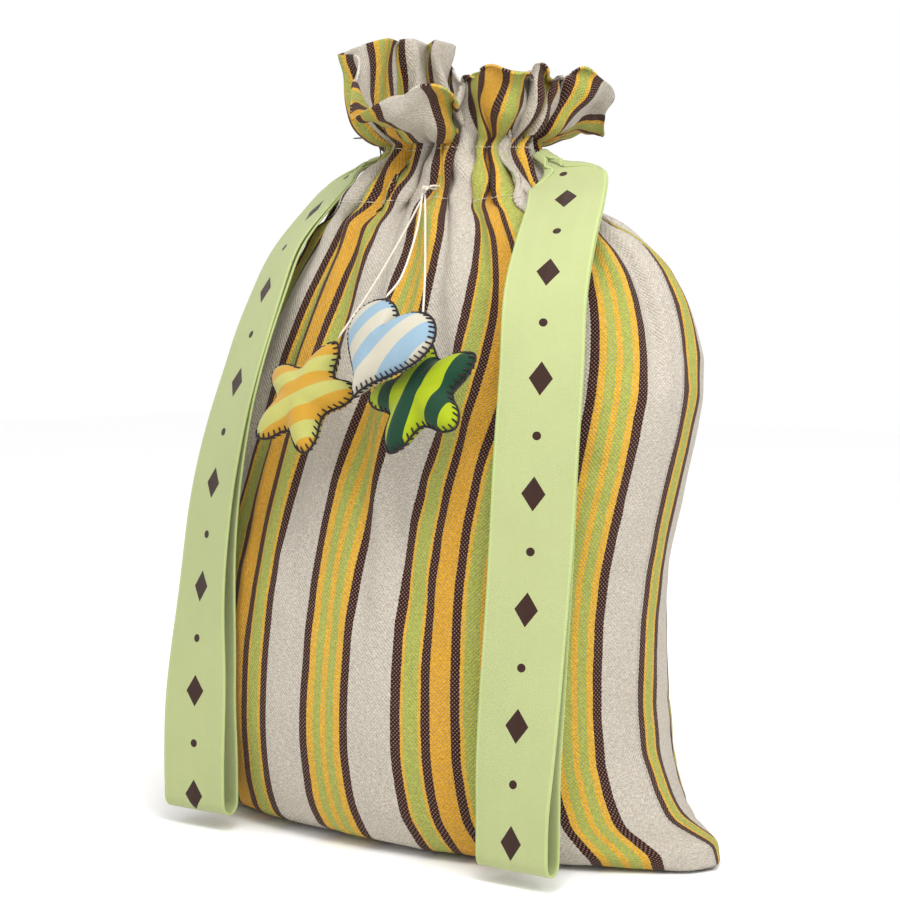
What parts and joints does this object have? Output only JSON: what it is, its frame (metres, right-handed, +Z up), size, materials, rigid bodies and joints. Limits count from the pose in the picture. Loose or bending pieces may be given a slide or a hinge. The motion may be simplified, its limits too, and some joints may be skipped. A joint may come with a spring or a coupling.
{
  "type": "laundry bag",
  "caption": "Filled striped cotton drawstring laundry bag with a ruffled mouth, wide tape drawstring loops and stuffed charms hanging at the neck.",
  "frame": {"origin": "centre of the flat base, on the floor, at the middle of the bottom seam", "axes": "+X across the bag's width to its right as seen from the front, -Y towards the front, +Z up"},
  "size_m": [0.462, 0.2626, 0.505],
  "materials": {
    "hanging_thread": "matt twisted cotton thread",
    "edging_thread": "matt stranded embroidery thread",
    "filling": "soft white fibre",
    "gold_star_cloth": "smooth striped cotton",
    "blue_heart_cloth": "smooth striped cotton",
    "green_star_cloth": "smooth striped cotton",
    "tape": "herringbone woven cotton tape with a small printed geometric motif",
    "bartack_thread": "matt polyester thread",
    "sewing_thread": "matt polyester thread",
    "lining": "plain slubby cotton",
    "striped_canvas": "heavy slubby striped cotton"
  },
  "bodies": {
    "bag": {"front_panel": "striped_canvas", "back_panel": "striped_canvas", "left_side_seam": "lining", "right_side_seam": "lining", "bottom_seam": "lining", "front_heading": "striped_canvas", "back_heading": "striped_canvas", "front_casing": "lining", "back_casing": "lining", "casing_upper_stitching": "sewing_thread", "casing_lower_stitching": "sewing_thread", "left_casing_tape": "tape", "right_casing_tape": "tape", "left_exit_bartacks": "bartack_thread", "right_exit_bartacks": "bartack_thread", "charm_anchor_loop": "hanging_thread"},
    "left_loop": {"left_tape_loop": "tape"},
    "right_loop": {"right_tape_loop": "tape"},
    "charm_bunch": {"charm_knot": "hanging_thread"},
    "gold_star": {"gold_star_front": "gold_star_cloth", "gold_star_back": "gold_star_cloth", "gold_star_filling": "filling", "gold_star_edging": "edging_thread", "gold_star_thread": "hanging_thread"},
    "blue_heart": {"blue_heart_front": "blue_heart_cloth", "blue_heart_back": "blue_heart_cloth", "blue_heart_filling": "filling", "blue_heart_edging": "edging_thread", "blue_heart_thread": "hanging_thread"},
    "green_star": {"green_star_front": "green_star_cloth", "green_star_back": "green_star_cloth", "green_star_filling": "filling", "green_star_edging": "edging_thread", "green_star_thread": "hanging_thread"}
  },
  "joints": [
    {"name": "left_loop_lift", "type": "hinge", "parent": "bag", "child": "left_loop", "pos_m": [-0.078, 0.01, 0.43], "axis": [-0.829, 0.5592, 0], "range_deg": [0, 100]},
    {"name": "right_loop_lift", "type": "hinge", "parent": "bag", "child": "right_loop", "pos_m": [0.104, 0.014, 0.426], "axis": [-0.9781, -0.2079, 0], "range_deg": [0, 100]},
    {"name": "charm_bunch_lift", "type": "hinge", "parent": "bag", "child": "charm_bunch", "pos_m": [0.03, -0.039, 0.414], "axis": [-1, 0, 0], "range_deg": [0, 80]},
    {"name": "gold_star_swing", "type": "hinge", "parent": "charm_bunch", "child": "gold_star", "pos_m": [0.03, -0.039, 0.414], "axis": [0, -0.8746, 0.4848], "range_deg": [-4, 2]},
    {"name": "blue_heart_swing", "type": "hinge", "parent": "charm_bunch", "child": "blue_heart", "pos_m": [0.03, -0.039, 0.414], "axis": [0, -0.8746, 0.4848], "range_deg": [-12, 6]},
    {"name": "green_star_swing", "type": "hinge", "parent": "charm_bunch", "child": "green_star", "pos_m": [0.03, -0.039, 0.414], "axis": [0, -0.8746, 0.4848], "range_deg": [-2, 5]}
  ]
}
